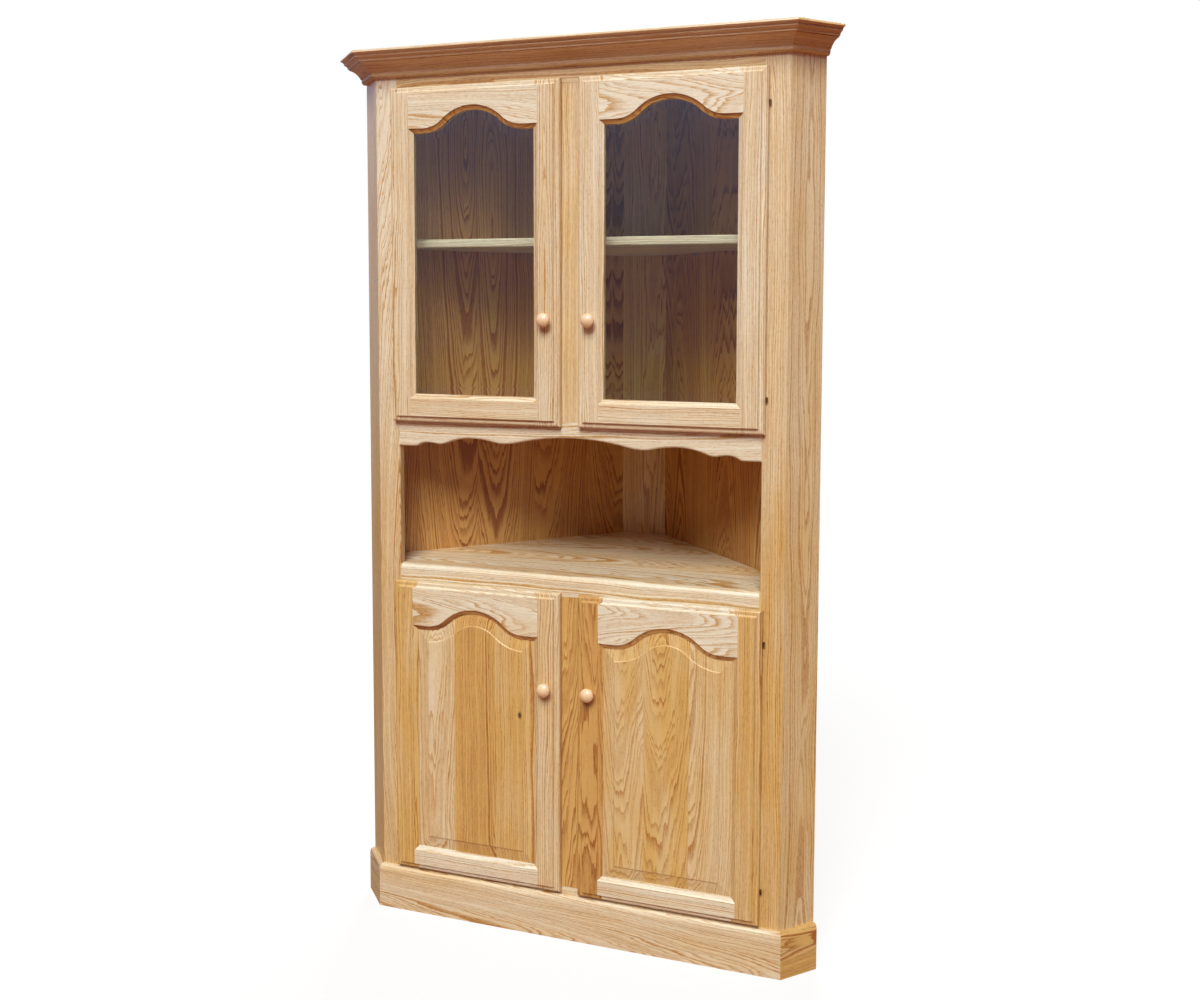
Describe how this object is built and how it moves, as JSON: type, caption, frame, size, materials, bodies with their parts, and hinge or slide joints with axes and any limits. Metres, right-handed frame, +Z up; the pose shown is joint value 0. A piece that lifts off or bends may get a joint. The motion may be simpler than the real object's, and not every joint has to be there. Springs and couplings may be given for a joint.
{
  "type": "corner hutch",
  "caption": "Tall corner hutch in varnished oak: glazed arched doors above, an open bay under a scalloped valance, and raised-panel doors below.",
  "frame": {"origin": "middle of the bounding box at the floor", "axes": "+Z up, +Y from the doors to the corner of the room, +X to the right of a person facing the doors"},
  "size_m": [1.1566, 0.5946, 1.981],
  "materials": {
    "oak": "satin varnish over oak",
    "pale_maple": "satin varnish over turned hardwood",
    "clear_glass": "clear, bevelled edge",
    "antique_brass": "darkened",
    "pin_steel": "nickel plated",
    "bumper_rubber": "clear soft"
  },
  "bodies": {
    "case": {"base_floor": "oak", "base_shelf": "oak", "bottom_rail": "oak", "case_hinge_leaves": "antique_brass", "case_hinge_screws": "antique_brass", "corner_panel": "oak", "crown_front": "oak", "crown_left": "oak", "crown_right": "oak", "deck_board": "oak", "deck_rail": "oak", "display_floor": "oak", "display_shelf": "oak", "door_bumpers": "bumper_rubber", "glue_blocks": "oak", "left_return": "oak", "left_stile": "oak", "left_wall_panel": "oak", "lower_mullion": "oak", "plinth_front": "oak", "plinth_left": "oak", "plinth_right": "oak", "right_return": "oak", "right_stile": "oak", "right_wall_panel": "oak", "shelf_pins": "pin_steel", "top_board": "oak", "top_rail": "oak", "upper_mullion": "oak", "valance_rail": "oak"},
    "upper_left_door": {"upper_left_arched_rail": "oak", "upper_left_bottom_rail": "oak", "upper_left_glass": "clear_glass", "upper_left_glass_stops": "oak", "upper_left_hinge_leaves": "antique_brass", "upper_left_hinge_stile": "oak", "upper_left_knob": "pale_maple", "upper_left_latch_stile": "oak"},
    "upper_right_door": {"upper_right_arched_rail": "oak", "upper_right_bottom_rail": "oak", "upper_right_glass": "clear_glass", "upper_right_glass_stops": "oak", "upper_right_hinge_leaves": "antique_brass", "upper_right_hinge_stile": "oak", "upper_right_knob": "pale_maple", "upper_right_latch_stile": "oak"},
    "lower_left_door": {"lower_left_arched_rail": "oak", "lower_left_bottom_rail": "oak", "lower_left_hinge_leaves": "antique_brass", "lower_left_hinge_stile": "oak", "lower_left_knob": "pale_maple", "lower_left_latch_stile": "oak", "lower_left_raised_panel": "oak"},
    "lower_right_door": {"lower_right_arched_rail": "oak", "lower_right_bottom_rail": "oak", "lower_right_hinge_leaves": "antique_brass", "lower_right_hinge_stile": "oak", "lower_right_knob": "pale_maple", "lower_right_latch_stile": "oak", "lower_right_raised_panel": "oak"}
  },
  "joints": [
    {"name": "upper_left_door_hinge", "type": "hinge", "parent": "case", "child": "upper_left_door", "pos_m": [-0.4336, -0.24117, 1.528], "axis": [0, 0, 1], "range_deg": [-110, 0]},
    {"name": "upper_right_door_hinge", "type": "hinge", "parent": "case", "child": "upper_right_door", "pos_m": [0.4336, -0.24117, 1.528], "axis": [0, 0, 1], "range_deg": [0, 110]},
    {"name": "lower_left_door_hinge", "type": "hinge", "parent": "case", "child": "lower_left_door", "pos_m": [-0.4336, -0.24117, 0.447], "axis": [0, 0, 1], "range_deg": [-110, 0]},
    {"name": "lower_right_door_hinge", "type": "hinge", "parent": "case", "child": "lower_right_door", "pos_m": [0.4336, -0.24117, 0.447], "axis": [0, 0, 1], "range_deg": [0, 110]}
  ]
}
